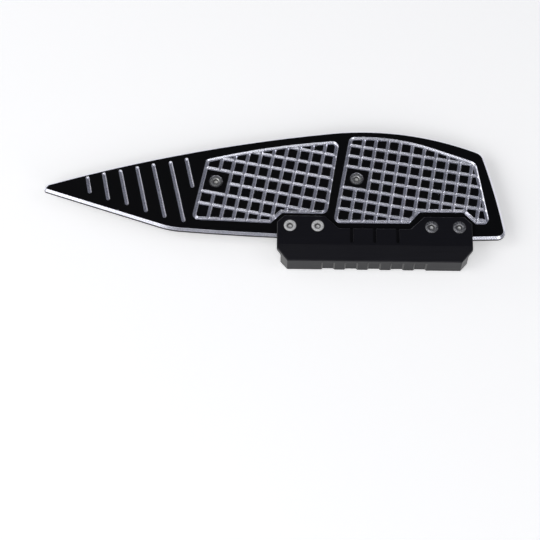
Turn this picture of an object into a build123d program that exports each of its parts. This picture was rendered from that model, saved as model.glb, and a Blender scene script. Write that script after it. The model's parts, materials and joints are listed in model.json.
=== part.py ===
from build123d import *
from math import radians, tan
import os

# Right-hand floorboard of a scooter: a milled plate with engraved tread panels,
# and a step that is screwed to its outer edge.
# Millimetres. The origin is midway between the two fixing screws, on the plate's underside.
# +X points to the front of the scooter, +Y to its middle and +Z up.

# Floor plate
plate_thickness = 5.0
edge_chamfer = 2.2
tip_radius = 3.0
bend_radius = 80.0
front_corner_radius = 8.0
inner_corner_radius = 12.0

# Plate outline, counter-clockwise from the tip: corner points, and a point on each curved run between them
tip_outer = (-227.5, -5.2)
outer_bend = (-108.3, -48.2)
outer_run = (40.5, -60.4)
front_outer = (201.4, -63.8)
front_run = (195.8, -24.2)
front_inner = (185.2, 24.6)
inner_front_run = (111.7, 47.7)
inner_crest = (42.7, 50.3)
inner_rear_run = (-94.7, 31.3)
tip_inner = (-222.3, 1.0)

# Engraving, cut with a pointed cutter whose tip is ground flat
groove_width = 3.4
cutter_tip = 0.4
cutter_half_angle = 45.0
frame_radius = 4.0
notch_radius = 2.0
nose_radius = 7.0

# Rear tread panel: the centre line of its frame groove, and the margins of its notch from the step's lug
rear_frame_tail = (-72.9, 21.9)
rear_frame_tail_outer = (-86.4, -37.3)
rear_frame_front_outer = (33.1, -46.0)
rear_frame_front_inner = (49.2, 38.8)
rear_frame_crown = (-2.6, 34.4)
rear_notch_margins = [(0.5, 6.0), (-2.8, 6.3), (-6.6, 2.4)]

# Its lattice: the way from the fixing screw to the middle of the plain field round it,
# and the bars on each side of that middle
rear_turn = -12.8
rear_pitch = (11.5, 12.3)
rear_field = (1.0, 0.1)
rear_front_bar_count = 8
rear_outer_bar_count = 2
rear_inner_bar_count = 4

# Front tread panel
front_frame_tail_inner = (62.1, 42.6)
front_frame_crown = (105.0, 39.0)
front_frame_shoulder = (143.0, 27.2)
front_frame_nose = (176.6, 13.6)
front_frame_nose_outer = (184.5, -47.8)
front_frame_tail_outer = (44.2, -43.6)
front_notch_margins = [(-1.7, 9.4), (-4.1, 8.7), (0.0, 8.8), (4.8, 3.4)]
front_turn = -11.5
front_pitch = (11.5, 11.2)
front_field = (0.6, 0.5)
front_front_bar_count = 10
front_outer_bar_count = 3
front_inner_bar_count = 3

# Slanting strokes towards the tip: inner end of each groove's centre line, its length and its lean
strokes = [
    ((-185.2, 6.0), 14.7, 9.5),
    ((-170.1, 9.7), 26.0, 10.0),
    ((-154.6, 12.4), 34.3, 11.0),
    ((-139.0, 15.6), 45.4, 11.0),
    ((-124.0, 18.3), 54.5, 11.5),
    ((-107.9, 20.4), 61.4, 11.5),
    ((-92.9, 23.6), 28.6, 11.0),
]

# Side step, in its own frame: u along its row of screws and v towards the plate, from the middle of the row
step_middle = (79.8, -51.8)
step_turn = -1.9
step_length = 179.0
flange_thickness = 5.0
flange_rear = -2.1
lug_rear = 10.3
lug_corner_cut = 6.5
fold_line = -19.0
lip_width = 14.0
lip_drop = 5.0
end_cut_length = 9.8
end_cut_depth = 11.0
skirt_height = 20.0
skirt_wall = 7.0
skirt_root_radius = 3.0
step_edge_chamfer = 0.7
slot_count = 3
slot_width = 3.0
slot_depth = 3.0
slot_fold_distance = 2.2
pocket_count = 5
pocket_pitch = 21.1
pocket_width = 12.2
pocket_depth = 1.5
pocket_wall_angle = 42.0
pocket_top = 4.5

# Screws: countersunk heads with a hexagon socket
thread_diameter = 6.0
head_diameter = 12.0
head_angle = 90.0
head_sink = 0.1
socket_width = 4.0
socket_depth = 2.4
seat_clearance = 0.1
thread_clearance = 0.1
lug_clearance = 0.3
fixing_clearance = 1.2
fixing_spacing = 131.1
fixing_length = 20.0
lug_screw_spacing = 25.4
lug_screw_end_distance = 11.9
lug_screw_inner_distance = 6.7

# Worked out from the sizes above
groove_depth = (groove_width - cutter_tip) / 2 / tan(radians(cutter_half_angle))
head_slope = tan(radians(head_angle / 2))
head_height = (head_diameter - thread_diameter) / 2 / head_slope
sink_diameter = head_diameter + 2 * head_sink * head_slope + 2 * seat_clearance
step_screw_length = plate_thickness + flange_thickness - head_sink

half_step = step_length / 2
lug_screw_outer = half_step - lug_screw_end_distance
lug_screw_inner = lug_screw_outer - lug_screw_spacing
lug_inner_end = lug_screw_inner - lug_screw_inner_distance
lip_edge = fold_line - lip_width
lip_slope = lip_drop / lip_width
skirt_inner = lip_edge + skirt_wall
skirt_root = (skirt_inner, (skirt_inner - fold_line) * lip_slope)
slot_end = fold_line + slot_fold_distance + slot_width / 2
slot_run = flange_rear + slot_width - slot_end

front_lug = [
    (lug_inner_end - lug_rear + flange_rear, flange_rear),
    (lug_inner_end, lug_rear),
    (half_step - lug_corner_cut, lug_rear),
    (half_step, lug_rear - lug_corner_cut),
]
rear_lug = [(-u, v) for u, v in front_lug]
front_end = [(half_step, lip_edge + end_cut_depth), (half_step - end_cut_length, lip_edge)]
front_half = front_lug + front_end

fixing_places = [(-fixing_spacing / 2, 0), (fixing_spacing / 2, 0)]
lug_screw_places = [(side * u, 0) for side in (-1, 1) for u in (lug_screw_inner, lug_screw_outer)]

plate_top = Plane.XY.offset(plate_thickness)
step_place = Plane(step_middle, x_dir=Vector(1, 0, 0).rotate(Axis.Z, step_turn), z_dir=(0, 0, 1))
step_seat = step_place.offset(plate_thickness)
step_top = step_seat.offset(flange_thickness)
step_section = Plane(
    origin=step_seat.from_local_coords((-half_step, 0, 0)),
    x_dir=step_seat.y_dir,
    z_dir=step_seat.x_dir,
)
skirt_face = Plane(
    origin=step_seat.from_local_coords((0, lip_edge, flange_thickness - lip_drop)),
    x_dir=step_seat.x_dir,
    z_dir=-step_seat.y_dir,
)


def beside(lug, margins):
    """Points on the plate that lie the given margins away from the corners of a lug."""
    return [step_place.from_local_coords((u + du, v + dv, 0)) for (u, v), (du, dv) in zip(lug, margins)]


def corners_at(sketch, points):
    """Corners of a sketch that lie nearest to the given points."""
    return [sketch.vertices().sort_by_distance(point)[0] for point in points]


def run_out(inside, foot):
    """Point on a notch's side that lies as far beyond its foot as the foot is from the inside corner."""
    return foot + foot - inside


def cutter_profile():
    """Section of a groove, hanging from the plate's top."""
    wall_angle = 90 - cutter_half_angle
    Trapezoid(groove_width, groove_depth, wall_angle, rotation=180, align=(Align.CENTER, Align.MIN))


def groove_along(path):
    """Groove whose centre line is the given edge."""
    with BuildPart() as groove:
        with BuildSketch(Plane(path @ 0, x_dir=Vector(0, 0, 1).cross(path % 0), z_dir=path % 0)):
            cutter_profile()
        sweep(path=path)
    return groove.part


def tread_grooves(frame, feet, screw, turn, pitch, field, front_bars, outer_bars, inner_bars):
    """Frame groove and lattice of one tread panel, with a plain field round its fixing screw.

    The two bars that would cross in the field are cut back to its edge. The feet are the sharp
    corners of the frame, where the round cutter turns.
    """
    middle = Plane(plate_top.location * Location(screw, turn) * Location(field))
    front_section = Plane(middle.origin, x_dir=middle.x_dir, z_dir=-middle.y_dir)
    side_section = Plane(middle.origin, x_dir=middle.y_dir, z_dir=middle.x_dir)
    front_places = [(count * pitch[0], 0) for count in range(1, front_bars + 1)]
    side_places = [(count * pitch[1], 0) for count in range(-outer_bars, inner_bars + 1) if count]
    reach = frame.bounding_box().diagonal
    with BuildPart() as grooves:
        for section in (front_section, side_section):
            with BuildSketch(section):
                cutter_profile()
            extrude(amount=reach, both=True)
        with BuildSketch(middle):
            with Locations((-pitch[0] / 2, 0)):
                Rectangle(3 * pitch[0], 2 * pitch[1])
        extrude(amount=plate_thickness, both=True, mode=Mode.SUBTRACT)
        for section, places in ((front_section, front_places), (side_section, side_places)):
            with BuildSketch(section):
                with Locations(*places):
                    cutter_profile()
            extrude(amount=reach, both=True)
        with BuildSketch(plate_top):
            add(frame)
        extrude(amount=plate_thickness, both=True, mode=Mode.INTERSECT)
        add([groove_along(edge) for edge in (plate_top * frame).edges()])
        with BuildSketch(plate_top):
            with Locations(*feet):
                Circle(groove_width / 2)
        extrude(amount=-groove_depth, taper=cutter_half_angle)
    return grooves.part


def countersunk_screw(length):
    """Screw that hangs down from the middle of its head's top face."""
    with BuildPart() as screw:
        with BuildSketch(Plane.XZ):
            with BuildLine():
                Polyline(
                    (0, 0),
                    (head_diameter / 2, 0),
                    (thread_diameter / 2, -head_height),
                    (thread_diameter / 2, -length),
                    (0, -length),
                    close=True,
                )
            make_face()
        revolve(axis=Axis.Z)
        with BuildSketch():
            RegularPolygon(socket_width / 2, 6, major_radius=False)
        extrude(amount=-socket_depth, mode=Mode.SUBTRACT)
    return screw.part


# Frame of the rear tread panel
rear_notch_inner, rear_notch_outer, rear_notch_side = beside(rear_lug[1:], rear_notch_margins)
rear_notch_front = run_out(rear_notch_outer, rear_notch_inner)
rear_notch_foot = run_out(rear_notch_outer, rear_notch_side)
with BuildSketch() as rear_notch:
    with BuildLine():
        Polyline(
            rear_notch_front,
            rear_notch_outer,
            rear_notch_foot,
            rear_notch_foot + rear_notch_front - rear_notch_outer,
            close=True,
        )
    make_face()
    fillet(corners_at(rear_notch, [rear_notch_outer]), notch_radius)
with BuildSketch() as rear_frame:
    with BuildLine():
        Polyline(rear_frame_tail, rear_frame_tail_outer, rear_frame_front_outer, rear_frame_front_inner)
        ThreePointArc(rear_frame_front_inner, rear_frame_crown, rear_frame_tail)
    make_face()
    add(rear_notch.sketch, mode=Mode.SUBTRACT)
    fillet(corners_at(rear_frame, [rear_frame_tail]), notch_radius)
    rear_corners = [rear_frame_tail_outer, rear_notch_inner, rear_frame_front_inner]
    fillet(corners_at(rear_frame, rear_corners), frame_radius)

# Frame of the front tread panel
front_notch_tail, front_notch_inner, front_notch_outer, front_notch_side = beside(
    front_lug, front_notch_margins
)
with BuildSketch() as front_notch:
    with BuildLine():
        Polyline(
            run_out(front_notch_inner, front_notch_tail),
            front_notch_inner,
            front_notch_outer,
            run_out(front_notch_outer, front_notch_side),
            close=True,
        )
    make_face()
    fillet(corners_at(front_notch, [front_notch_inner, front_notch_outer]), notch_radius)
with BuildSketch() as front_frame:
    with BuildLine():
        ThreePointArc(front_frame_tail_inner, front_frame_crown, front_frame_shoulder)
        Polyline(front_frame_shoulder, front_frame_nose, front_frame_nose_outer)
        Polyline(front_frame_nose_outer, front_frame_tail_outer, front_frame_tail_inner)
    make_face()
    front_corners = [front_frame_nose_outer, front_frame_tail_outer, front_frame_tail_inner]
    fillet(corners_at(front_frame, front_corners), frame_radius)
    fillet(corners_at(front_frame, [front_frame_nose]), nose_radius)
    add(front_notch.sketch, mode=Mode.SUBTRACT)

rear_grooves = tread_grooves(
    rear_frame.sketch,
    corners_at(rear_frame, [rear_notch_side]),
    fixing_places[0],
    rear_turn,
    rear_pitch,
    rear_field,
    rear_front_bar_count,
    rear_outer_bar_count,
    rear_inner_bar_count,
)
front_grooves = tread_grooves(
    front_frame.sketch,
    corners_at(front_frame, [front_notch_tail, front_frame_shoulder, front_notch_side]),
    fixing_places[1],
    front_turn,
    front_pitch,
    front_field,
    front_front_bar_count,
    front_outer_bar_count,
    front_inner_bar_count,
)

# Floor plate
with BuildPart() as floor_plate:
    with BuildSketch() as outline:
        with BuildLine():
            Line(tip_outer, outer_bend)
            ThreePointArc(outer_bend, outer_run, front_outer)
            ThreePointArc(front_outer, front_run, front_inner)
            ThreePointArc(front_inner, inner_front_run, inner_crest)
            ThreePointArc(inner_crest, inner_rear_run, tip_inner)
            Line(tip_inner, tip_outer)
        make_face()
        fillet(corners_at(outline, [tip_outer, tip_inner]), tip_radius)
        fillet(corners_at(outline, [outer_bend]), bend_radius)
        fillet(corners_at(outline, [front_outer]), front_corner_radius)
        fillet(corners_at(outline, [front_inner]), inner_corner_radius)
    extrude(amount=plate_thickness)
    chamfer(floor_plate.faces().sort_by(Axis.Z)[-1].edges(), edge_chamfer)
    with Locations(plate_top):
        with Locations(*fixing_places):
            CounterSinkHole(
                thread_diameter / 2 + fixing_clearance, sink_diameter / 2, counter_sink_angle=head_angle
            )
    with Locations(step_seat):
        with Locations(*lug_screw_places):
            Hole(thread_diameter / 2 + thread_clearance)
    with BuildSketch(plate_top):
        for inner_end, length, lean in strokes:
            with Locations(Location(inner_end, lean)):
                with Locations((0, -length / 2)):
                    SlotCenterToCenter(length, groove_width, rotation=90)
    extrude(amount=-groove_depth, taper=cutter_half_angle, mode=Mode.SUBTRACT)
    add([rear_grooves, front_grooves], mode=Mode.SUBTRACT)
floor_plate.part.label = "floor_plate"

# Side step: one section run along its length, trimmed to its plan, then slotted, pocketed and drilled
with BuildPart() as side_step:
    with BuildSketch(step_section) as section:
        with BuildLine():
            Polyline(
                (lug_rear, 0),
                (fold_line, 0),
                skirt_root,
                (skirt_inner, -skirt_height),
                (lip_edge, -skirt_height),
                (lip_edge, flange_thickness - lip_drop),
                (fold_line, flange_thickness),
                (lug_rear, flange_thickness),
                close=True,
            )
        make_face()
        fillet(corners_at(section, [skirt_root]), skirt_root_radius)
    extrude(amount=step_length)
    with BuildSketch(step_seat.offset(-skirt_height)):
        with BuildLine():
            Polyline(*front_half, *[(-u, v) for u, v in reversed(front_half)], close=True)
        make_face()
    extrude(amount=skirt_height + flange_thickness, mode=Mode.INTERSECT)
    top_faces = side_step.faces().filter_by(lambda face: face.normal_at().Z > lip_slope)
    fold = side_step.edges().sort_by_distance(step_top.from_local_coords((0, fold_line, 0)))[0]
    chamfer([edge for edge in top_faces.edges() if not edge.is_same(fold)], step_edge_chamfer)
    chamfer(side_step.faces().sort_by(Axis.Z)[0].edges(), step_edge_chamfer)
    with BuildSketch(step_top):
        with Locations((0, slot_end + slot_run / 2)):
            with GridLocations(pocket_pitch, pocket_pitch, slot_count, 1):
                SlotCenterToCenter(slot_run, slot_width, rotation=90)
    extrude(amount=-slot_depth, mode=Mode.SUBTRACT)
    with BuildSketch(skirt_face):
        with Locations((0, -pocket_top - skirt_height / 2)):
            with GridLocations(pocket_pitch, pocket_pitch, pocket_count, 1):
                Rectangle(pocket_width, skirt_height)
    extrude(amount=-pocket_depth, taper=pocket_wall_angle, mode=Mode.SUBTRACT)
    with Locations(step_top):
        with Locations(*lug_screw_places):
            CounterSinkHole(
                thread_diameter / 2 + lug_clearance, sink_diameter / 2, counter_sink_angle=head_angle
            )
side_step.part.label = "side_step"

# Screws that hold the step to the plate
lug_screw = countersunk_screw(step_screw_length)
with BuildPart() as step_screws:
    with Locations(step_top.offset(-head_sink)):
        with Locations(*lug_screw_places):
            add(lug_screw)
step_screws.part.label = "step_screws"

# Screws that hold the plate to the scooter
fixing_screw = countersunk_screw(fixing_length)
with BuildPart() as plate_screws:
    with Locations(plate_top.offset(-head_sink)):
        with Locations(*fixing_places):
            add(fixing_screw)
plate_screws.part.label = "plate_screws"

os.makedirs("parts", exist_ok=True)
for piece in (floor_plate, side_step, step_screws, plate_screws):
    export_step(piece.part, f"parts/{piece.part.label}.step")
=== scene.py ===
"""Looks of a scooter floorboard: a black plate with bare engraving, and a step screwed to its edge.

Lengths are in metres and angles in degrees.
"""
import json
import logging
import math
from collections.abc import Callable, Sequence
from dataclasses import dataclass, field
from enum import Enum
from functools import cached_property

import bmesh
import bpy
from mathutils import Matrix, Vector


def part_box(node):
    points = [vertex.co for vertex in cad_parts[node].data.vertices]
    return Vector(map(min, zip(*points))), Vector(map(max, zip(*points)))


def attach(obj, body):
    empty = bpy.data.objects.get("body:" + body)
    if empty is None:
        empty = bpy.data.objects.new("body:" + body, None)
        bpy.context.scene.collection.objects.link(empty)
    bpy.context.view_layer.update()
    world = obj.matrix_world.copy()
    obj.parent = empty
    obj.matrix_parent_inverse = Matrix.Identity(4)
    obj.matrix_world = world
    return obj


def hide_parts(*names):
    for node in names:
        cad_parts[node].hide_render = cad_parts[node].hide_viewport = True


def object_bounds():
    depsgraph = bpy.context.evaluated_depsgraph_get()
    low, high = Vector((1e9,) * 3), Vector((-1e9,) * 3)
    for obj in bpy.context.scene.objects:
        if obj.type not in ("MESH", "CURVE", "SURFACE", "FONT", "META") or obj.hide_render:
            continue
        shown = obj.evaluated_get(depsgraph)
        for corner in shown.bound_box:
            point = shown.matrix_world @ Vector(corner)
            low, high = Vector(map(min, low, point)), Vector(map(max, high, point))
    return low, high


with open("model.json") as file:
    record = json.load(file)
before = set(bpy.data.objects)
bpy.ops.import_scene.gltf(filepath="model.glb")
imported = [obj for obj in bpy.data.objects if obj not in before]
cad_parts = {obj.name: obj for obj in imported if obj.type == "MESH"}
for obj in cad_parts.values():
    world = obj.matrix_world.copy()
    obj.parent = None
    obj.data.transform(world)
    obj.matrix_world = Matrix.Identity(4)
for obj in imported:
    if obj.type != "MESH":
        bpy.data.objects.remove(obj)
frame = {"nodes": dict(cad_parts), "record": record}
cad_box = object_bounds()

log = logging.getLogger("floorboard")

Colour = tuple[float, float, float]
Place = tuple[float, float, float]
Ramp = tuple[float, float]
Socket = bpy.types.NodeSocket

BODY = "root"

# Turn of the step and of its row of screws about the upright axis
STEP_TURN = -1.9
# Distance at which two points of a mesh are one
MERGE_REACH = 1e-6
# Distance between the waves of a Wave texture at scale 1, where they don't slant
WAVE_LENGTH = math.tau / 20.0
# Rays that a rounded normal is averaged from
BEVEL_SAMPLES = 8
# Cosines of the turn of a rounded normal at an edge and away from it
EDGE_TURN: Ramp = (0.90, 0.995)


class Slot(Enum):
    """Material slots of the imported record."""

    PLATE = "plate_black"
    STEP = "step_black"
    SCREW = "screw_steel"


class Axis(Enum):
    """Axes of the shared frame, by the name of their output on a Separate XYZ node."""

    X = "X"
    Y = "Y"
    Z = "Z"


class Sum(Enum):
    """Operations of a Math node."""

    ADD = "ADD"
    SUBTRACT = "SUBTRACT"
    MULTIPLY = "MULTIPLY"
    MAXIMUM = "MAXIMUM"
    ABSOLUTE = "ABSOLUTE"


class Wave(Enum):
    """Forms of regular waves, as settings of a Wave texture."""

    LEVELS = {"wave_type": "BANDS", "bands_direction": "Z"}
    SLANTING = {"wave_type": "BANDS", "bands_direction": "DIAGONAL"}
    RINGS = {"wave_type": "RINGS", "rings_direction": "Z"}


@dataclass(frozen=True)
class Mottle:
    """Smooth noise: its bumps in a metre, its octaves of finer noise and their strength."""

    scale: float
    detail: float = 2.0
    roughness: float = 0.5


@dataclass(frozen=True)
class Ripple:
    """Regular waves: their form and pitch, how far they wander and how finely.

    Slanting waves lie further apart than their pitch, by the root of 2.
    """

    form: Wave
    pitch: float
    distortion: float
    wander_scale: float = 1.0


class Graph:
    """Node tree of one material or of the world, built up socket by socket."""

    def __init__(self, tree: bpy.types.NodeTree) -> None:
        """Takes over a node tree and empties it.

        Args:
            tree: The node tree of a material or a world.
        """
        self.tree = tree
        self.tree.nodes.clear()

    def node(self, kind: str, **settings: object) -> bpy.types.Node:
        """Adds a node.

        Args:
            kind: The node's type, without the prefix that all shader nodes share.
            settings: Properties to set on the node.

        Returns:
            The new node.
        """
        made = self.tree.nodes.new("ShaderNode" + kind)
        for name, value in settings.items():
            setattr(made, name, value)
        return made

    def feed(self, socket: Socket, value: object) -> None:
        """Links a socket to an input, or sets the input's own value.

        Args:
            socket: The input.
            value: The socket to link from, or a plain value.
        """
        if isinstance(value, bpy.types.NodeSocket):
            self.tree.links.new(value, socket)
        elif isinstance(value, tuple) and socket.type == "RGBA":
            socket.default_value = (*value, 1.0)
        else:
            socket.default_value = value

    def math(self, operation: Sum, first: Socket | float, second: Socket | float = 0.0) -> Socket:
        """Works out one sum.

        Args:
            operation: The operation.
            first: Its first value.
            second: Its second value.

        Returns:
            The result.
        """
        made = self.node("Math", operation=operation.value)
        self.feed(made.inputs[0], first)
        self.feed(made.inputs[1], second)
        return made.outputs[0]

    def times(self, first: Socket | float, second: Socket | float) -> Socket:
        """Multiplies two values."""
        return self.math(Sum.MULTIPLY, first, second)

    def plus(self, first: Socket | float, second: Socket | float) -> Socket:
        """Adds two values."""
        return self.math(Sum.ADD, first, second)

    def larger(self, first: Socket | float, second: Socket | float) -> Socket:
        """Gives the larger of two values."""
        return self.math(Sum.MAXIMUM, first, second)

    def span(self, value: Socket, ramp: Ramp, start: float = 0.0, end: float = 1.0) -> Socket:
        """Maps a span of values smoothly on to another.

        Args:
            value: The value to map.
            ramp: The values that give start and end.
            start: The result at and below the ramp's first value.
            end: The result at and above its second one.

        Returns:
            The mapped value.
        """
        made = self.node("MapRange", interpolation_type="SMOOTHSTEP")
        for number, given in enumerate((value, *ramp, start, end)):
            self.feed(made.inputs[number], given)
        return made.outputs[0]

    def band(self, value: Socket, rise: Ramp, fall: Ramp) -> Socket:
        """Picks out a band of values.

        Args:
            value: The value to test.
            rise: The values between which the band begins.
            fall: The values between which it ends.

        Returns:
            1 in the band and 0 outside it.
        """
        return self.times(self.span(value, rise), self.span(value, fall, 1.0, 0.0))

    def blend(self, factor: Socket | float, first: Socket | float, second: Socket | float) -> Socket:
        """Mixes two values.

        Args:
            factor: The share of the second value.
            first: The value at factor 0.
            second: The value at factor 1.

        Returns:
            The mixed value.
        """
        made = self.node("Mix", data_type="FLOAT")
        for number, given in ((0, factor), (2, first), (3, second)):
            self.feed(made.inputs[number], given)
        return made.outputs[0]

    def tint(self, factor: Socket | float, first: Socket | Colour, second: Socket | Colour) -> Socket:
        """Mixes two colours.

        Args:
            factor: The share of the second colour.
            first: The colour at factor 0.
            second: The colour at factor 1.

        Returns:
            The mixed colour.
        """
        made = self.node("Mix", data_type="RGBA")
        for number, given in ((0, factor), (6, first), (7, second)):
            self.feed(made.inputs[number], given)
        return made.outputs[2]

    def along(self, vector: Socket, axis: Axis) -> Socket:
        """Gives one coordinate of a vector.

        Args:
            vector: The vector.
            axis: The axis to read.

        Returns:
            The coordinate.
        """
        made = self.node("SeparateXYZ")
        self.feed(made.inputs[0], vector)
        return made.outputs[axis.value]

    def place(
        self, scale: Place = (1.0, 1.0, 1.0), turn: float = 0.0, middle: Place = (0.0, 0.0, 0.0)
    ) -> Socket:
        """Gives the place on the piece, in metres, for a pattern to follow.

        Args:
            scale: How often the pattern repeats along each axis.
            turn: The pattern's turn about the upright axis, in degrees.
            middle: The point that the pattern is centred on.

        Returns:
            The mapped object coordinates.
        """
        source = self.node("TexCoord").outputs["Object"]
        shift = self.node("VectorMath", operation="SUBTRACT")
        self.feed(shift.inputs[0], source)
        self.feed(shift.inputs[1], middle)
        made = self.node("Mapping")
        self.feed(made.inputs["Vector"], shift.outputs[0])
        self.feed(made.inputs["Rotation"], (0.0, 0.0, math.radians(-turn)))
        self.feed(made.inputs["Scale"], scale)
        return made.outputs[0]

    def noise(self, vector: Socket, mottle: Mottle) -> Socket:
        """Gives smooth noise.

        Args:
            vector: The place on the piece.
            mottle: The noise's size and character.

        Returns:
            The noise, from 0 to 1.
        """
        made = self.node("TexNoise")
        self.feed(made.inputs["Vector"], vector)
        self.feed(made.inputs["Scale"], mottle.scale)
        self.feed(made.inputs["Detail"], mottle.detail)
        self.feed(made.inputs["Roughness"], mottle.roughness)
        return made.outputs[0]

    def wave(self, vector: Socket, ripple: Ripple) -> Socket:
        """Gives regular waves.

        Args:
            vector: The place on the piece.
            ripple: The waves' form and size.

        Returns:
            The waves' height, from 0 to 1.
        """
        made = self.node("TexWave", **ripple.form.value)
        self.feed(made.inputs["Vector"], vector)
        self.feed(made.inputs["Scale"], WAVE_LENGTH / ripple.pitch)
        self.feed(made.inputs["Distortion"], ripple.distortion)
        self.feed(made.inputs["Detail Scale"], ripple.wander_scale)
        return made.outputs["Fac"]

    def normal(self) -> Socket:
        """Gives the surface's own normal."""
        return self.node("NewGeometry").outputs["Normal"]

    def facing(self) -> Socket:
        """Gives how far the surface faces up, from -1 to 1."""
        return self.along(self.normal(), Axis.Z)

    def rounded(self, radius: float) -> Socket:
        """Gives the normal that the surface has when its edges are rounded.

        Args:
            radius: The radius of the rounding, in metres.

        Returns:
            The rounded normal.
        """
        made = self.node("Bevel", samples=BEVEL_SAMPLES)
        self.feed(made.inputs["Radius"], radius)
        return made.outputs[0]

    def edges(self, normal: Socket) -> Socket:
        """Finds the surface beside an edge, where its rounded normal turns away.

        Args:
            normal: The rounded normal.

        Returns:
            1 at an edge and 0 away from it.
        """
        made = self.node("VectorMath", operation="DOT_PRODUCT")
        self.feed(made.inputs[0], normal)
        self.feed(made.inputs[1], self.normal())
        return self.span(made.outputs["Value"], EDGE_TURN, 1.0, 0.0)

    def bump(self, height: Socket, depth: float, under: Socket) -> Socket:
        """Bends a normal by a height.

        Args:
            height: The height, from 0 to 1.
            depth: What a height of 1 stands for, in metres.
            under: The normal to bend.

        Returns:
            The bent normal.
        """
        made = self.node("Bump")
        self.feed(made.inputs["Distance"], depth)
        self.feed(made.inputs["Height"], height)
        self.feed(made.inputs["Normal"], under)
        return made.outputs[0]


class Finish:
    """A material with one surface shader."""

    def __init__(self, name: str) -> None:
        """Makes the material.

        Args:
            name: The material's name.
        """
        self.material = bpy.data.materials.new(name)
        self.material.use_nodes = True
        self.graph = Graph(self.material.node_tree)
        self.shader = self.graph.node("BsdfPrincipled")
        output = self.graph.node("OutputMaterial")
        self.graph.feed(output.inputs["Surface"], self.shader.outputs[0])

    def set(self, **values: object) -> None:
        """Sets or links inputs of the shader.

        Args:
            values: Each input's value or socket, under its name with underscores for blanks.
        """
        for name, value in values.items():
            self.graph.feed(self.shader.inputs[name.replace("_", " ")], value)


@dataclass(frozen=True)
class PlateFinish:
    """Black anodised plate whose grooves and edge are cut back to bare aluminium."""

    top: float
    skin_end: Ramp = (-0.000024, 0.000012)
    burr: float = 0.00006
    burrs: Mottle = Mottle(1400.0, 3.0)
    cut_slope: Ramp = (0.3, 0.45)

    black: Colour = (0.0020, 0.0020, 0.0026)
    black_worn: Colour = (0.0046, 0.0046, 0.0058)
    black_roughness: Ramp = (0.34, 0.48)
    black_gloss: float = 0.14
    cloud: Mottle = Mottle(38.0, 4.0, 0.6)
    grain: Mottle = Mottle(4200.0, 2.0, 0.6)
    grain_height: float = 0.25
    specks: Ramp = (0.62, 0.8)
    speck_wear: float = 0.35
    scratches: Mottle = Mottle(1.0, 3.0, 0.65)
    scratch_scale: Place = (70.0, 900.0, 900.0)
    scratch_turn: float = 14.0
    scratched: Ramp = (0.55, 0.78)
    scratch_patches: Ramp = (0.35, 0.7)
    scratch_wear: float = 0.5

    bare: Colour = (0.86, 0.865, 0.94)
    bare_stained: Colour = (0.68, 0.69, 0.77)
    bare_roughness: Ramp = (0.18, 0.30)
    stains: Ramp = (0.3, 0.75)
    stain_share: float = 0.6
    tool_marks: Ripple = Ripple(Wave.LEVELS, 0.00016, 2.2, 0.6)
    mark_height: float = 0.3
    feed_marks: Ripple = Ripple(Wave.SLANTING, 0.0011, 1.5)
    feed_scale: Place = (1.0, 1.0, 0.0)
    relief_depth: float = 0.00002
    edge_radius: float = 0.0006

    def cut(self, graph: Graph) -> Socket:
        """Finds the cut faces: below the top, and not upright.

        Args:
            graph: The material's node tree.

        Returns:
            1 on bare metal and 0 on the black skin.
        """
        place = graph.place()
        ragged = graph.times(graph.noise(place, self.burrs), self.burr)
        height = graph.plus(graph.along(place, Axis.Z), ragged)
        low, high = self.skin_end
        below = graph.span(height, (self.top + low, self.top + high), 1.0, 0.0)
        return graph.times(below, graph.span(graph.facing(), self.cut_slope))

    def wear(self, graph: Graph, cloud: Socket, grain: Socket) -> Socket:
        """Gathers the wear of the black skin: patches of scratches, and specks.

        Args:
            graph: The material's node tree.
            cloud: The broad noise that the patches follow.
            grain: The fine noise that the specks follow.

        Returns:
            The wear, 0 where the skin is as new.
        """
        scratches = graph.noise(graph.place(self.scratch_scale, self.scratch_turn), self.scratches)
        patches = graph.span(cloud, self.scratch_patches)
        scratched = graph.times(graph.span(scratches, self.scratched), patches)
        specks = graph.times(graph.span(grain, self.specks), self.speck_wear)
        return graph.plus(graph.times(scratched, self.scratch_wear), specks)

    def make(self) -> bpy.types.Material:
        """Builds the material.

        Returns:
            The material.
        """
        finish = Finish("black_plate_bare_cuts")
        graph = finish.graph
        bare = self.cut(graph)
        marks = graph.wave(graph.place(), self.tool_marks)
        cloud = graph.noise(graph.place(), self.cloud)
        grain = graph.noise(graph.place(), self.grain)

        skin = graph.tint(self.wear(graph, cloud, grain), self.black, self.black_worn)
        stained = graph.span(cloud, self.stains, 0.0, self.stain_share)
        metal = graph.tint(stained, self.bare, self.bare_stained)
        skin_roughness = graph.blend(cloud, *self.black_roughness)
        metal_roughness = graph.blend(marks, *self.bare_roughness)
        feed_marks = graph.wave(graph.place(self.feed_scale), self.feed_marks)
        metal_relief = graph.plus(graph.times(marks, self.mark_height), feed_marks)
        relief = graph.blend(bare, graph.times(grain, self.grain_height), metal_relief)
        finish.set(
            Base_Color=graph.tint(bare, skin, metal),
            Metallic=bare,
            Roughness=graph.blend(bare, skin_roughness, metal_roughness),
            Specular_IOR_Level=self.black_gloss,
            Normal=graph.bump(relief, self.relief_depth, graph.rounded(self.edge_radius)),
        )
        return finish.material


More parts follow.
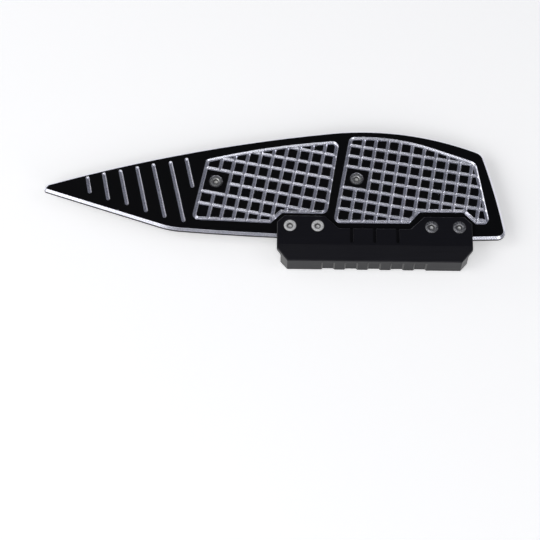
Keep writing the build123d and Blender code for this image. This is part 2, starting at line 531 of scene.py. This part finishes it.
@dataclass(frozen=True)
class StepFinish:
    """Black anodised step with faint cutter lines along it, and edges and chamfers painted paler: partly
    edge wear, partly a painted highlight.
    """

    turn: float = STEP_TURN
    black: Colour = (0.0046, 0.0045, 0.0072)
    black_lined: Colour = (0.0068, 0.0066, 0.0102)
    roughness: Ramp = (0.30, 0.44)
    gloss: float = 0.25
    cloud: Mottle = Mottle(55.0, 4.0, 0.6)
    grain: Mottle = Mottle(4600.0, 2.0, 0.6)
    grain_height: float = 0.4
    lines: Mottle = Mottle(1.0, 3.0, 0.6)
    line_scale: Place = (12.0, 2600.0, 900.0)
    line_height: float = 0.6
    lined: Ramp = (0.35, 0.7)
    relief_depth: float = 0.000006
    edge_radius: float = 0.0005

    # Paler colour on edges and on steeply sloping faces such as the small chamfers: partly edge wear, partly
    # a painted highlight.
    wear_and_painted_highlight: Colour = (0.030, 0.030, 0.034)
    wear_and_highlight_patches: Ramp = (0.3, 0.62)
    wear_and_highlight_least: float = 0.25
    edge_wear_and_painted_highlight: float = 0.14
    slope_begin: Ramp = (0.5, 0.62)
    slope_end: Ramp = (0.80, 0.9)

    # Lighter colour of the upright walls slantwise to the skirt: painted light that makes the pockets' sides
    # and the cut corners stand out.
    lit_wall_paint: Colour = (0.075, 0.075, 0.074)
    upright: Ramp = (0.1, 0.3)
    slant_begin: Ramp = (0.3, 0.45)
    slant_end: Ramp = (0.85, 0.95)

    def painted_light_walls(self, graph: Graph) -> Socket:
        """Finds the upright walls that stand slantwise to the skirt, the pockets' sides and the cut corners,
        whose lighter colour is painted light.

        Args:
            graph: The material's node tree.

        Returns:
            1 on such a wall and 0 elsewhere.
        """
        normal = graph.normal()
        across = graph.math(Sum.ABSOLUTE, graph.along(normal, Axis.X))
        tilt = graph.math(Sum.ABSOLUTE, graph.along(normal, Axis.Z))
        slanting = graph.band(across, self.slant_begin, self.slant_end)
        return graph.times(slanting, graph.span(tilt, self.upright, 1.0, 0.0))

    def make(self) -> bpy.types.Material:
        """Builds the material.

        Returns:
            The material.
        """
        finish = Finish("black_step")
        graph = finish.graph
        lines = graph.noise(graph.place(self.line_scale, self.turn), self.lines)
        cloud = graph.noise(graph.place(), self.cloud)
        grain = graph.noise(graph.place(), self.grain)
        slope = graph.band(graph.facing(), self.slope_begin, self.slope_end)
        soft = graph.rounded(self.edge_radius)

        # Edges and sloping chamfers painted paler in patches: partly wear, partly a painted highlight.
        edge = graph.times(graph.edges(soft), self.edge_wear_and_painted_highlight)
        patches = graph.span(cloud, self.wear_and_highlight_patches, self.wear_and_highlight_least, 1.0)
        wear_and_highlight = graph.times(graph.larger(slope, edge), patches)
        skin = graph.tint(graph.span(lines, self.lined), self.black, self.black_lined)
        relief = graph.plus(graph.times(lines, self.line_height), graph.times(grain, self.grain_height))
        finish.set(
            # The slantwise walls get the lighter colour: painted light.
            Base_Color=graph.tint(self.painted_light_walls(graph), graph.tint(wear_and_highlight, skin, self.wear_and_painted_highlight), self.lit_wall_paint),
            Roughness=graph.blend(cloud, *self.roughness),
            Specular_IOR_Level=self.gloss,
            Normal=graph.bump(relief, self.relief_depth, soft),
        )
        return finish.material


@dataclass(frozen=True)
class SteelFinish:
    """Turned steel with rings round the screw's own axis and pits, painted shade in the socket, round it and
    at the rim, and a painted glint on the socket's floor.
    """

    steel: Colour = (0.52, 0.52, 0.54)
    dull: Colour = (0.17, 0.17, 0.18)
    metal: float = 1.0
    roughness: Ramp = (0.24, 0.40)
    cloud: Mottle = Mottle(650.0, 3.0, 0.6)
    dulled: Ramp = (0.42, 0.60)
    rings: Ripple = Ripple(Wave.RINGS, 0.00022, 1.2)
    ring_height: float = 0.2
    pits: Mottle = Mottle(800.0)
    pit_depth: float = 0.00005

    # Near-white, not metallic colour of the socket's drilled floor: a painted glint.
    floor: Colour = (0.95, 0.95, 0.95)
    glint_slope: Ramp = (0.3, 0.6)
    glint_reach: Ramp = (0.0014, 0.0021)
    socket_reach: Ramp = (0.0026, 0.0027)
    socket_level: Ramp = (-0.0003, -0.00015)

    # Dark, rough, not metallic colour in the socket's corners, in a ring round the socket and at the head's
    # rim: painted shade where the socket and the countersink fall into shadow.
    painted_shade: Colour = (0.030, 0.029, 0.028)
    painted_shade_roughness: float = 0.5
    rim_reach: Ramp = (0.0058, 0.0061)
    painted_shade_ring: float = 0.0033
    painted_shade_ring_width: Ramp = (0.00005, 0.0003)
    painted_shade_ring_share: float = 0.5

    def reach(self, graph: Graph, place: Socket) -> Socket:
        """Gives the distance from the screw's axis.

        Args:
            graph: The material's node tree.
            place: The place, measured from the middle of the screw's head.

        Returns:
            The distance, in metres.
        """
        flat = graph.node("VectorMath", operation="MULTIPLY")
        graph.feed(flat.inputs[0], place)
        graph.feed(flat.inputs[1], (1.0, 1.0, 0.0))
        length = graph.node("VectorMath", operation="LENGTH")
        graph.feed(length.inputs[0], flat.outputs[0])
        return length.outputs["Value"]

    def socket(self, graph: Graph, place: Socket, reach: Socket) -> Socket:
        """Finds the inside of the socket.

        Args:
            graph: The material's node tree.
            place: The place, measured from the middle of the screw's head.
            reach: The distance from the screw's axis.

        Returns:
            1 in the socket and 0 elsewhere.
        """
        inside = graph.span(reach, self.socket_reach, 1.0, 0.0)
        sunk = graph.span(graph.along(place, Axis.Z), self.socket_level, 1.0, 0.0)
        return graph.times(inside, sunk)

    def paint_shade(self, graph: Graph, reach: Socket, corners: Socket) -> Socket:
        """Gathers the painted shade: in the socket's corners, in a ring round the socket and at the head's
        rim.

        Args:
            graph: The material's node tree.
            reach: The distance from the screw's axis.
            corners: 1 in the socket beside its floor with the painted glint, and 0 elsewhere.

        Returns:
            The painted shade's share.
        """
        rim = graph.span(reach, self.rim_reach)
        aside = graph.math(Sum.ABSOLUTE, graph.math(Sum.SUBTRACT, reach, self.painted_shade_ring))
        ring = graph.span(aside, self.painted_shade_ring_width, self.painted_shade_ring_share, 0.0)
        return graph.larger(corners, graph.larger(rim, ring))

    def make(self, name: str, middle: Place) -> bpy.types.Material:
        """Builds the material of one screw.

        Args:
            name: The screw's name.
            middle: The middle of its head.

        Returns:
            The material.
        """
        finish = Finish(name + "_steel")
        graph = finish.graph
        place = graph.place(middle=middle)
        reach = self.reach(graph, place)
        cloud = graph.noise(place, self.cloud)

        socket = self.socket(graph, place, reach)
        # The socket's floor is painted near-white and not metallic: a painted glint.
        floor = graph.times(socket, graph.span(graph.facing(), self.glint_slope))
        floor = graph.times(floor, graph.span(reach, self.glint_reach, 1.0, 0.0))
        # Painted shade in the socket's corners, round the socket and at the rim.
        painted_shade = self.paint_shade(graph, reach, graph.math(Sum.SUBTRACT, socket, floor))
        steel = graph.tint(graph.span(cloud, self.dulled), self.steel, self.dull)
        steel = graph.tint(floor, steel, self.floor)
        metal = graph.blend(floor, self.metal, 0.0)
        rings = graph.times(graph.wave(place, self.rings), self.ring_height)
        relief = graph.plus(rings, graph.noise(place, self.pits))
        finish.set(
            Base_Color=graph.tint(painted_shade, steel, self.painted_shade),
            Metallic=graph.blend(painted_shade, metal, 0.0),
            Roughness=graph.blend(painted_shade, graph.blend(cloud, *self.roughness), self.painted_shade_roughness),
            Normal=graph.bump(relief, self.pit_depth, graph.normal()),
        )
        return finish.material


@dataclass(frozen=True)
class FloorFinish:
    """Matt white floor with a faint mottle, as pale to the eye as a lit backdrop."""

    pale: Colour = (0.90, 0.90, 0.90)
    mottled: Colour = (0.88, 0.88, 0.885)
    mottle: Mottle = Mottle(3.0, 3.0)
    roughness: float = 0.9
    gloss: float = 0.1
    light: Colour = (1.0, 1.0, 1.0)
    backlight: float = 0.42

    def seen(self, graph: Graph) -> Socket:
        """Finds the rays that show the floor, straight or in a gloss.

        Args:
            graph: The material's node tree.

        Returns:
            The backlight's strength on such rays and 0 on others.
        """
        path = graph.node("LightPath").outputs
        shown = graph.larger(path["Is Camera Ray"], path["Is Glossy Ray"])
        shown = graph.larger(shown, path["Is Transmission Ray"])
        return graph.times(shown, self.backlight)

    def make(self) -> bpy.types.Material:
        """Builds the material.

        Returns:
            The material.
        """
        finish = Finish("pale_floor")
        graph = finish.graph
        finish.set(
            Base_Color=graph.tint(graph.noise(graph.place(), self.mottle), self.pale, self.mottled),
            Roughness=self.roughness,
            Specular_IOR_Level=self.gloss,
            Emission_Color=self.light,
            Emission_Strength=self.seen(graph),
        )
        return finish.material


class Bench:
    """Blender's operators, as a maker uses them on one mesh at a time."""

    @staticmethod
    def clear() -> None:
        """Deselects everything."""
        bpy.ops.object.select_all(action="DESELECT")

    @staticmethod
    def pick(*pieces: bpy.types.Object) -> None:
        """Selects only these pieces, and makes the first one active.

        Args:
            pieces: The pieces.
        """
        Bench.clear()
        for piece in pieces:
            piece.select_set(True)
        bpy.context.view_layer.objects.active = pieces[0]

    @staticmethod
    def choose(test: Callable[[bmesh.types.BMFace], bool]) -> None:
        """Selects the faces of the mesh in edit mode that pass a test.

        Args:
            test: Says for a face whether it is chosen.
        """
        bpy.ops.mesh.select_mode(type="FACE")
        bpy.ops.mesh.select_all(action="DESELECT")
        mesh = bmesh.from_edit_mesh(bpy.context.object.data)
        for face in mesh.faces:
            face.select_set(test(face))
        mesh.select_flush_mode()
        bmesh.update_edit_mesh(bpy.context.object.data)

    @staticmethod
    def draw_out(drop: float, scale: float) -> None:
        """Extrudes the selected face downwards and resizes its ring about the axis.

        Args:
            drop: How far down.
            scale: The new ring's size against the old one's.
        """
        bpy.ops.mesh.extrude_region_move(TRANSFORM_OT_translate={"value": (0.0, 0.0, -drop)})
        bpy.ops.transform.resize(value=(scale, scale, 1.0), center_override=(0.0, 0.0, 0.0))

    @staticmethod
    def outwards() -> None:
        """Merges doubles of the mesh in edit mode and turns its faces outwards."""
        bpy.ops.mesh.select_all(action="SELECT")
        bpy.ops.mesh.remove_doubles(threshold=MERGE_REACH)
        bpy.ops.mesh.normals_make_consistent(inside=False)

    @staticmethod
    def apply(piece: bpy.types.Object, kind: str, **settings: object) -> None:
        """Adds a modifier and applies it.

        Args:
            piece: The piece.
            kind: The modifier's type.
            settings: Properties of the modifier.
        """
        made = piece.modifiers.new(kind.lower(), kind)
        for name, value in settings.items():
            setattr(made, name, value)
        Bench.pick(piece)
        bpy.ops.object.modifier_apply(modifier=made.name)

    @staticmethod
    def settle() -> None:
        """Moves the active piece's place, turn and scale into its mesh."""
        bpy.ops.object.transform_apply(location=True, rotation=True, scale=True)


@dataclass(frozen=True)
class Punch:
    """Straight-walled tool with a tapered end, which cuts a hole into a head at the origin."""

    sides: int
    corner_reach: float
    wall: float
    end_depth: float
    end_size: float
    bottom_facing: float = -0.9

    def cut(self, blank: bpy.types.Object) -> None:
        """Cuts the hole.

        Args:
            blank: The turned blank of the screw.
        """
        Bench.clear()
        bpy.ops.mesh.primitive_cylinder_add(
            vertices=self.sides, radius=self.corner_reach, depth=2.0 * self.wall
        )
        tool = bpy.context.object
        bpy.ops.object.mode_set(mode="EDIT")
        Bench.choose(lambda face: face.normal.z < self.bottom_facing)
        Bench.draw_out(self.end_depth, self.end_size)
        bpy.ops.object.mode_set(mode="OBJECT")
        Bench.apply(blank, "BOOLEAN", object=tool, operation="DIFFERENCE", solver="EXACT")
        bpy.data.objects.remove(tool)


@dataclass
class CountersunkScrew:
    """Countersunk screw with a hexagon socket, modelled hanging from the origin."""

    name: str
    length: float
    thread_start: float | None = None
    head: float = 0.00585
    rim: float = 0.00015
    cone_reach: float = 0.006
    shank: float = 0.003
    core: float = 0.00245
    point: float = 0.0006
    sides: int = 64
    thread_pitch: float = 0.001
    thread_sink: float = 0.00004
    thread_steps: int = 28
    socket_sides: int = 6
    socket_flats: float = 0.004
    socket_wall: float = 0.0018
    socket_end: float = 0.0006
    socket_end_size: float = 0.1
    mouth: float = 0.0031
    mouth_wall: float = 0.00002
    mouth_depth: float = 0.00045
    mouth_end_size: float = 0.71
    soft_edge: float = 0.00012
    soft_segments: int = 2
    soft_angle: float = 28.0
    smooth_angle: float = 32.0

    @property
    def thread_rise(self) -> float:
        """Height of the thread over its core."""
        return self.shank - self.core

    def turn_blank(self) -> bpy.types.Object:
        """Draws the head, the shank and the core of the thread out of a disc.

        Returns:
            The blank.
        """
        Bench.clear()
        bpy.ops.mesh.primitive_circle_add(vertices=self.sides, radius=self.head, fill_type="NGON")
        blank = bpy.context.object
        blank.name = self.name
        rings = [(self.rim, self.head), (self.cone_reach - self.shank, self.shank)]
        end = self.shank
        if self.thread_start is not None:
            rings.append((self.thread_start, self.shank))
            rings.append((self.thread_start + self.thread_rise, self.core))
            end = self.core
        rings += [(self.length - self.point, end), (self.length, end - self.point)]

        bpy.ops.object.mode_set(mode="EDIT")
        bpy.ops.mesh.select_all(action="SELECT")
        depth, radius = 0.0, self.head
        for next_depth, next_radius in rings:
            Bench.draw_out(next_depth - depth, next_radius / radius)
            depth, radius = next_depth, next_radius
        Bench.outwards()
        bpy.ops.object.mode_set(mode="OBJECT")
        return blank

    def cut_socket(self, blank: bpy.types.Object) -> None:
        """Cuts the hexagon socket with its drilled floor and countersunk mouth, and softens the edges.

        Args:
            blank: The turned blank.
        """
        corner = self.socket_flats / math.sqrt(3.0)
        hexagon = Punch(
            self.socket_sides, corner, self.socket_wall, self.socket_end, self.socket_end_size
        )
        countersink = Punch(
            self.sides, self.mouth, self.mouth_wall, self.mouth_depth, self.mouth_end_size
        )
        for punch in (hexagon, countersink):
            punch.cut(blank)
        Bench.apply(
            blank, "BEVEL", width=self.soft_edge, segments=self.soft_segments,
            limit_method="ANGLE", angle_limit=math.radians(self.soft_angle),
        )

    def wind_thread(self) -> bpy.types.Object:
        """Winds the thread's ridge, a triangle with its root sunk into the core, round the core.

        Returns:
            The ridge.
        """
        Bench.clear()
        start = self.thread_start + self.thread_rise
        turns = int((self.length - self.point - start) / self.thread_pitch) - 1
        across = self.core + self.thread_rise / 3.0 - self.thread_sink
        bpy.ops.mesh.primitive_circle_add(
            vertices=3, radius=self.thread_rise * 2.0 / 3.0, fill_type="NOTHING",
            location=(across, 0.0, -start - self.thread_pitch / 2.0),
            rotation=(math.radians(90.0), math.radians(90.0), 0.0),
        )
        ridge = bpy.context.object
        Bench.settle()
        Bench.apply(
            ridge, "SCREW", axis="Z", angle=math.tau, screw_offset=-self.thread_pitch, iterations=turns,
            steps=self.thread_steps, render_steps=self.thread_steps,
            use_merge_vertices=True, merge_threshold=MERGE_REACH,
        )
        bpy.ops.object.mode_set(mode="EDIT")
        bpy.ops.mesh.select_mode(type="EDGE")
        bpy.ops.mesh.select_all(action="DESELECT")
        bpy.ops.mesh.select_non_manifold()
        bpy.ops.mesh.fill()
        Bench.outwards()
        bpy.ops.object.mode_set(mode="OBJECT")
        return ridge

    def build(self) -> bpy.types.Object:
        """Models the screw.

        Returns:
            The screw.
        """
        screw = self.turn_blank()
        self.cut_socket(screw)
        if self.thread_start is not None:
            ridge = self.wind_thread()
            Bench.pick(screw, ridge)
            bpy.ops.object.join()
        Bench.pick(screw)
        bpy.ops.object.shade_smooth_by_angle(angle=math.radians(self.smooth_angle))
        return screw


@dataclass
class ScrewRow:
    """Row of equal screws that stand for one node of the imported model."""

    node: str
    name: str
    reaches: Sequence[float]
    head_turns: Sequence[float]
    finishes: Sequence[SteelFinish]
    turn: float = 0.0
    thread_start: float | None = None
    screws: list[bpy.types.Object] = field(default_factory=list)

    @cached_property
    def places(self) -> list[Place]:
        """Works out the middles of the heads from the node's box.

        Returns:
            One place for each screw, from the rear to the front.
        """
        lowest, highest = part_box(self.node)
        middle = (lowest + highest) / 2.0
        middle.z = highest.z
        along = Vector((math.cos(math.radians(self.turn)), math.sin(math.radians(self.turn)), 0.0))
        return [tuple(middle + along * reach) for reach in self.reaches]

    def build(self) -> None:
        """Models the screw once, and sets a copy with its own mesh at each place."""
        lowest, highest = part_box(self.node)
        master = CountersunkScrew(self.name, highest.z - lowest.z, self.thread_start).build()
        for number, (place, turn) in enumerate(zip(self.places, self.head_turns), start=1):
            screw = master.copy()
            screw.data = master.data.copy()
            screw.name = f"{self.name}_{number}"
            bpy.context.scene.collection.objects.link(screw)
            screw.location = place
            screw.rotation_euler = (0.0, 0.0, math.radians(turn))
            Bench.pick(screw)
            Bench.settle()
            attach(screw, BODY)
            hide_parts(self.node)
            self.screws.append(screw)
        bpy.data.objects.remove(master)

    def dress(self) -> None:
        """Gives each screw its steel."""
        for screw, place, finish in zip(self.screws, self.places, self.finishes):
            screw.data.materials.clear()
            screw.data.materials.append(finish.make(screw.name, place))
            log.info("%s: %d faces", screw.name, len(screw.data.polygons))


@dataclass
class FloorPlate:
    """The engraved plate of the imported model."""

    node: str = "floor_plate"
    mount: str = "fixing_screws"

    def dress(self) -> None:
        """Gives the plate its two finishes, which part at its top."""
        dress_node(self.node, PlateFinish(top=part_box(self.node)[1].z).make())

    def half_spacing(self) -> float:
        """Gives half the distance between the fixing screws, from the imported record.

        Returns:
            The distance of each screw from the origin, in metres.
        """
        mount = next(mount for mount in frame["record"]["mounts"] if mount["name"] == self.mount)
        return mount["dims"]["spacing_x_mm"] / 2000.0


@dataclass
class SideStep:
    """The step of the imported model."""

    node: str = "side_step"
    finish: StepFinish = StepFinish()

    def dress(self) -> None:
        """Gives the step its finish."""
        dress_node(self.node, self.finish.make())


@dataclass(frozen=True)
class Lamp:
    """A soft rectangular lamp that faces the frame's origin."""

    name: str
    place: Place
    width: float
    height: float
    glow: float

    def build(self) -> None:
        """Hangs the lamp."""
        data = bpy.data.lights.new(self.name, "AREA")
        data.shape = "RECTANGLE"
        data.size = self.width
        data.size_y = self.height
        data.energy = self.glow * math.pi * self.width * self.height
        set_up(self.name, data, self.place, (0.0, 0.0, 0.0))


@dataclass
class Studio:
    """Floor, light and camera."""

    floor_size: float = 8.0
    floor_squares: int = 8
    floor_gap: float = 0.0001
    floor: FloorFinish = FloorFinish()
    front_glow: float = 0.22
    back_glow: float = 0.16
    glow_change: Ramp = (-0.7, 0.25)
    sky: Colour = (0.88, 0.90, 1.0)
    lamps: tuple[Lamp, ...] = (
        Lamp("left_front_lamp", (-1.75, -1.45, 1.10), 1.5, 1.3, 1.2),
        Lamp("right_front_lamp", (1.10, -2.03, 1.15), 1.1, 1.1, 2.0),
        Lamp("front_high_lamp", (-1.20, -1.82, 2.0), 1.6, 0.9, 2.6),
        Lamp("front_middle_lamp", (0.24, -1.75, 2.05), 0.4, 0.5, 4.5),
        Lamp("left_high_lamp", (-1.7, -0.3, 1.9), 1.3, 1.3, 2.8),
        Lamp("right_high_lamp", (1.7, -0.3, 1.9), 1.3, 1.3, 0.8),
        Lamp("left_low_lamp", (-2.2, 0.95, 0.60), 1.4, 1.1, 1.8),
    )
    camera_place: Place = (-0.0288, -0.6871, 1.3305)
    camera_aim: Place = (-0.0169, -0.0915, 0.0050)
    camera_lens: float = 106.67

    def lay_floor(self) -> None:
        """Lays the floor just under the lowest points of the object."""
        Bench.clear()
        bpy.ops.mesh.primitive_grid_add(
            x_subdivisions=self.floor_squares, y_subdivisions=self.floor_squares, size=self.floor_size
        )
        floor = bpy.context.object
        floor.name = "floor"
        floor.location.z = cad_box[0].z - self.floor_gap
        Bench.settle()
        floor.data.materials.append(self.floor.make())

    def light(self) -> None:
        """Hangs the lamps, and makes the room brighter in front than behind."""
        for lamp in self.lamps:
            lamp.build()
        world = bpy.data.worlds.new("studio")
        bpy.context.scene.world = world
        world.use_nodes = True
        graph = Graph(world.node_tree)
        towards = graph.along(graph.node("TexCoord").outputs["Generated"], Axis.Y)
        glow = graph.span(towards, self.glow_change, self.front_glow, self.back_glow)
        sky = graph.node("Background")
        graph.feed(sky.inputs["Color"], self.sky)
        graph.feed(sky.inputs["Strength"], glow)
        output = graph.node("OutputWorld")
        graph.feed(output.inputs["Surface"], sky.outputs[0])

    def set_camera(self) -> None:
        """Sets the camera where the photographer stood."""
        data = bpy.data.cameras.new("camera")
        data.lens = self.camera_lens
        bpy.context.scene.camera = set_up("camera", data, self.camera_place, self.camera_aim)

    def build(self) -> None:
        """Sets up the whole studio."""
        self.set_camera()
        self.lay_floor()
        self.light()
        bpy.context.scene.view_settings.view_transform = "Standard"


def set_up(
    name: str, data: bpy.types.Light | bpy.types.Camera, place: Place, aim: Place
) -> bpy.types.Object:
    """Sets up a lamp or a camera.

    Args:
        name: Its name.
        data: Its settings.
        place: Where it stands.
        aim: The point that it looks at.

    Returns:
        The lamp or camera.
    """
    made = bpy.data.objects.new(name, data)
    bpy.context.scene.collection.objects.link(made)
    made.location = place
    made.rotation_euler = (Vector(aim) - Vector(place)).to_track_quat("-Z", "Y").to_euler()
    return made


def dress_node(name: str, material: bpy.types.Material) -> None:
    """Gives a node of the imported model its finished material.

    Args:
        name: The node's name.
        material: The material.
    """
    node = frame["nodes"][name]
    for holder in node.material_slots:
        holder.material = material
    log.info("%s: %d faces", name, len(node.data.polygons))


def main() -> None:
    """Builds the studio and dresses the floorboard."""
    logging.basicConfig(level=logging.INFO, format="%(name)s %(message)s")
    Studio().build()
    plate = FloorPlate()
    plate.dress()
    SideStep().dress()
    # Lit and shaded copies of one steel: the step's first two screws get a lighter, rougher, less metallic
    # copy, a painted highlight; the plate's screws get a darker copy with a dimmer socket floor and a wider
    # dark rim, painted shade.
    painted_lit_steel = SteelFinish(
        steel=(0.95, 0.95, 0.94), dull=(0.68, 0.68, 0.68), metal=0.40, roughness=(0.44, 0.60),
        rim_reach=(0.0054, 0.0057), painted_shade_ring=0.0030, painted_shade_ring_share=0.85,
    )
    plain = SteelFinish(pit_depth=0.00018)
    painted_shaded_steel = SteelFinish(
        steel=(0.68, 0.68, 0.67), dull=(0.32, 0.32, 0.32), floor=(0.80, 0.80, 0.77),
        rim_reach=(0.0051, 0.0054),
    )
    step_row = ScrewRow(
        node="step_screws",
        name="step_screw",
        reaches=(-0.0776, -0.0522, 0.0522, 0.0776),
        head_turns=(12.0, 40.0, 25.0, 8.0),
        finishes=(painted_lit_steel, painted_lit_steel, plain, plain),
        turn=STEP_TURN,
    )
    plate_row = ScrewRow(
        node="plate_screws",
        name="plate_screw",
        reaches=(-plate.half_spacing(), plate.half_spacing()),
        head_turns=(30.0, 5.0),
        finishes=(painted_shaded_steel, painted_shaded_steel),
        thread_start=0.0054,
    )
    for row in (step_row, plate_row):
        row.build()
        row.dress()


if __name__ == "__main__":
    main()
